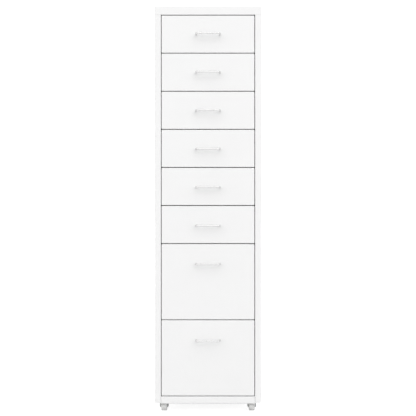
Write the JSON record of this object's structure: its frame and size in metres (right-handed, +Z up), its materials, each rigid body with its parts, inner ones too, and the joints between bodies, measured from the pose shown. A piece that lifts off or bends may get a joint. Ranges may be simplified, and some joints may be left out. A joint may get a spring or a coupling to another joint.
{
  "type": "drawer cabinet",
  "caption": "Tall, slim sheet-steel drawer cabinet: small drawers over deeper ones, each with a thin bow handle, on swivel casters.",
  "frame": {"origin": "on the floor, below the middle of the overall width and depth", "axes": "+Z up; the drawers open towards -Y; +X is to the right of someone facing the drawers"},
  "size_m": [0.285, 0.41, 1.091],
  "materials": {
    "body_paint": "satin powder coat",
    "drawer_paint": "satin powder coat",
    "handle_rod": "bright nickel plate",
    "runner_steel": "bright zinc plate",
    "caster_steel": "bright zinc plate",
    "zinc_fasteners": "bright zinc plate",
    "wheel_plastic": "moulded"
  },
  "bodies": {
    "cabinet": {"left_side_panel": "body_paint", "right_side_panel": "body_paint", "top_panel": "body_paint", "base_panel": "body_paint", "back_panel": "body_paint", "left_runners": "runner_steel", "right_runners": "runner_steel", "back_screws": "zinc_fasteners", "caster_kingpins": "zinc_fasteners", "caster_bolts": "zinc_fasteners", "caster_nuts": "zinc_fasteners", "caster_plate_front_left": "caster_steel", "caster_plate_front_right": "caster_steel", "caster_plate_rear_left": "caster_steel", "caster_plate_rear_right": "caster_steel"},
    "drawer_1": {"drawer_front_1": "drawer_paint", "drawer_tray_1": "drawer_paint", "handle_1": "handle_rod", "handle_nuts_1": "zinc_fasteners"},
    "drawer_2": {"drawer_front_2": "drawer_paint", "drawer_tray_2": "drawer_paint", "handle_2": "handle_rod", "handle_nuts_2": "zinc_fasteners"},
    "drawer_3": {"drawer_front_3": "drawer_paint", "drawer_tray_3": "drawer_paint", "handle_3": "handle_rod", "handle_nuts_3": "zinc_fasteners"},
    "drawer_4": {"drawer_front_4": "drawer_paint", "drawer_tray_4": "drawer_paint", "handle_4": "handle_rod", "handle_nuts_4": "zinc_fasteners"},
    "drawer_5": {"drawer_front_5": "drawer_paint", "drawer_tray_5": "drawer_paint", "handle_5": "handle_rod", "handle_nuts_5": "zinc_fasteners"},
    "drawer_6": {"drawer_front_6": "drawer_paint", "drawer_tray_6": "drawer_paint", "handle_6": "handle_rod", "handle_nuts_6": "zinc_fasteners"},
    "drawer_7": {"drawer_front_7": "drawer_paint", "drawer_tray_7": "drawer_paint", "handle_7": "handle_rod", "handle_nuts_7": "zinc_fasteners"},
    "drawer_8": {"drawer_front_8": "drawer_paint", "drawer_tray_8": "drawer_paint", "handle_8": "handle_rod", "handle_nuts_8": "zinc_fasteners"},
    "swivel_front_left": {"caster_fork_front_left": "caster_steel", "caster_axle_front_left": "zinc_fasteners"},
    "wheel_front_left": {"caster_wheel_front_left": "wheel_plastic"},
    "swivel_front_right": {"caster_fork_front_right": "caster_steel", "caster_axle_front_right": "zinc_fasteners"},
    "wheel_front_right": {"caster_wheel_front_right": "wheel_plastic"},
    "swivel_rear_left": {"caster_fork_rear_left": "caster_steel", "caster_axle_rear_left": "zinc_fasteners"},
    "wheel_rear_left": {"caster_wheel_rear_left": "wheel_plastic"},
    "swivel_rear_right": {"caster_fork_rear_right": "caster_steel", "caster_axle_rear_right": "zinc_fasteners"},
    "wheel_rear_right": {"caster_wheel_rear_right": "wheel_plastic"}
  },
  "joints": [
    {"name": "drawer_1_slide", "type": "slide", "parent": "cabinet", "child": "drawer_1", "axis": [0, -1, 0], "range_m": [0, 0.28]},
    {"name": "drawer_2_slide", "type": "slide", "parent": "cabinet", "child": "drawer_2", "axis": [0, -1, 0], "range_m": [0, 0.28]},
    {"name": "drawer_3_slide", "type": "slide", "parent": "cabinet", "child": "drawer_3", "axis": [0, -1, 0], "range_m": [0, 0.28]},
    {"name": "drawer_4_slide", "type": "slide", "parent": "cabinet", "child": "drawer_4", "axis": [0, -1, 0], "range_m": [0, 0.28]},
    {"name": "drawer_5_slide", "type": "slide", "parent": "cabinet", "child": "drawer_5", "axis": [0, -1, 0], "range_m": [0, 0.28]},
    {"name": "drawer_6_slide", "type": "slide", "parent": "cabinet", "child": "drawer_6", "axis": [0, -1, 0], "range_m": [0, 0.28]},
    {"name": "drawer_7_slide", "type": "slide", "parent": "cabinet", "child": "drawer_7", "axis": [0, -1, 0], "range_m": [0, 0.28]},
    {"name": "drawer_8_slide", "type": "slide", "parent": "cabinet", "child": "drawer_8", "axis": [0, -1, 0], "range_m": [0, 0.28]},
    {"name": "caster_front_left_swivel", "type": "hinge", "parent": "cabinet", "child": "swivel_front_left", "pos_m": [-0.11895, -0.15645, 0.0342], "axis": [0, 0, 1], "continuous": true},
    {"name": "caster_front_left_spin", "type": "hinge", "parent": "swivel_front_left", "child": "wheel_front_left", "pos_m": [-0.11895, -0.14745, 0.015], "axis": [1, 0, 0], "continuous": true},
    {"name": "caster_front_right_swivel", "type": "hinge", "parent": "cabinet", "child": "swivel_front_right", "pos_m": [0.11895, -0.15645, 0.0342], "axis": [0, 0, 1], "continuous": true},
    {"name": "caster_front_right_spin", "type": "hinge", "parent": "swivel_front_right", "child": "wheel_front_right", "pos_m": [0.11895, -0.14745, 0.015], "axis": [1, 0, 0], "continuous": true},
    {"name": "caster_rear_left_swivel", "type": "hinge", "parent": "cabinet", "child": "swivel_rear_left", "pos_m": [-0.11895, 0.17945, 0.0342], "axis": [0, 0, 1], "continuous": true},
    {"name": "caster_rear_left_spin", "type": "hinge", "parent": "swivel_rear_left", "child": "wheel_rear_left", "pos_m": [-0.11895, 0.18845, 0.015], "axis": [1, 0, 0], "continuous": true},
    {"name": "caster_rear_right_swivel", "type": "hinge", "parent": "cabinet", "child": "swivel_rear_right", "pos_m": [0.11895, 0.17945, 0.0342], "axis": [0, 0, 1], "continuous": true},
    {"name": "caster_rear_right_spin", "type": "hinge", "parent": "swivel_rear_right", "child": "wheel_rear_right", "pos_m": [0.11895, 0.18845, 0.015], "axis": [1, 0, 0], "continuous": true}
  ]
}
